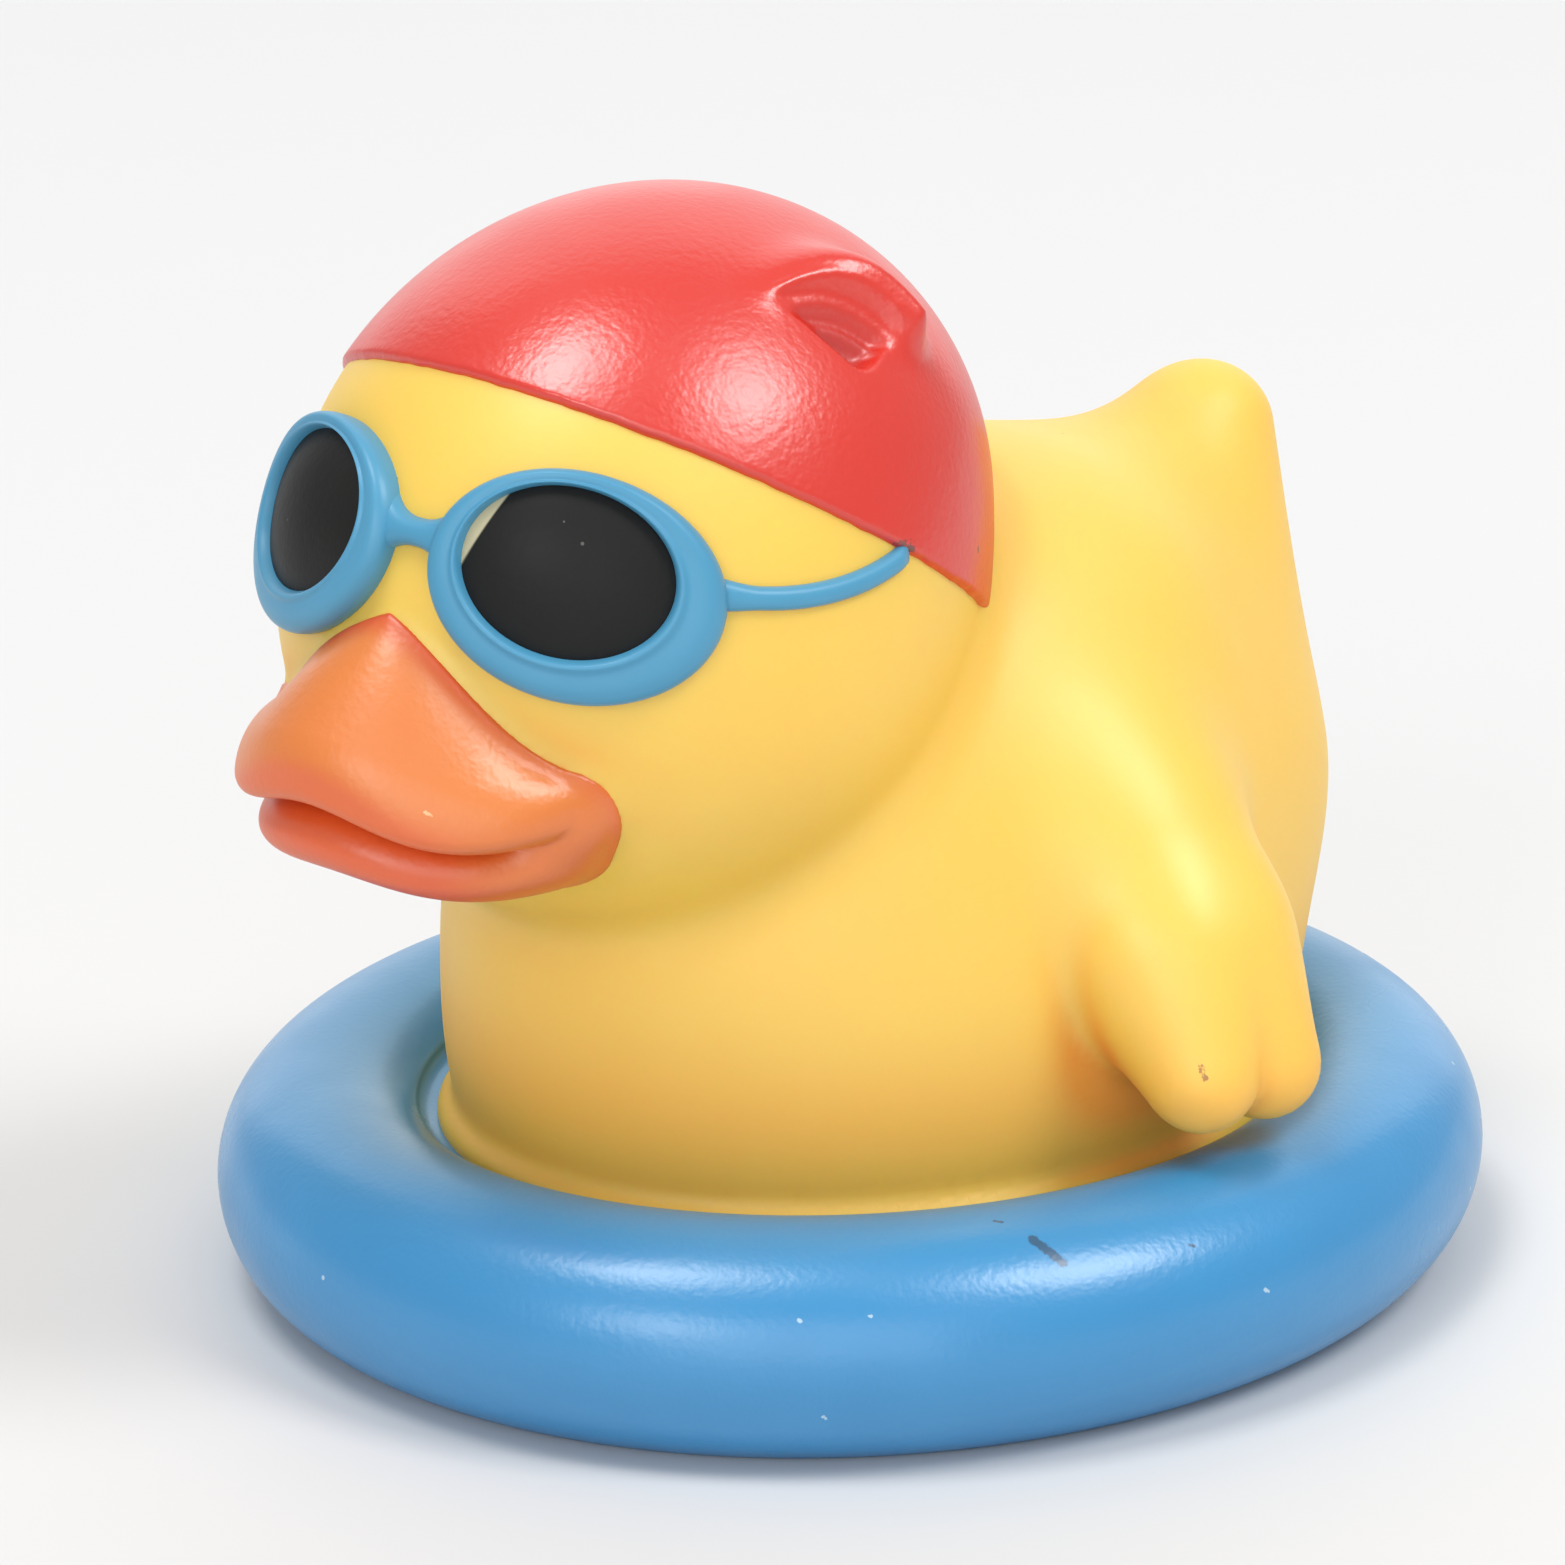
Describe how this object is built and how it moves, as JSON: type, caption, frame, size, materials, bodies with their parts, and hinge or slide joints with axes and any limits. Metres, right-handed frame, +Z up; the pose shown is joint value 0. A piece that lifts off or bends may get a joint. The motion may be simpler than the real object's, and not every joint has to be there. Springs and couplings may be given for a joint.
{
  "type": "rubber duck",
  "caption": "Soft vinyl bath duck sitting in a swim ring, with a round head in a swim cap and goggles, a wide bill, stubby wings and a flat base.",
  "frame": {"origin": "centre of the swim ring, on the flat base that the duck stands on", "axes": "+Z up, -Y the way the body faces, +X to the duck's left"},
  "size_m": [0.0938, 0.1089, 0.0866],
  "materials": {
    "yellow_vinyl": "soft satin",
    "cap_red": "glossy paint",
    "ring_blue": "glossy paint",
    "goggle_blue": "satin paint",
    "lens_black": "satin paint",
    "bill_orange": "glossy paint"
  },
  "bodies": {
    "root": {"duck": "yellow_vinyl"}
  },
  "joints": []
}
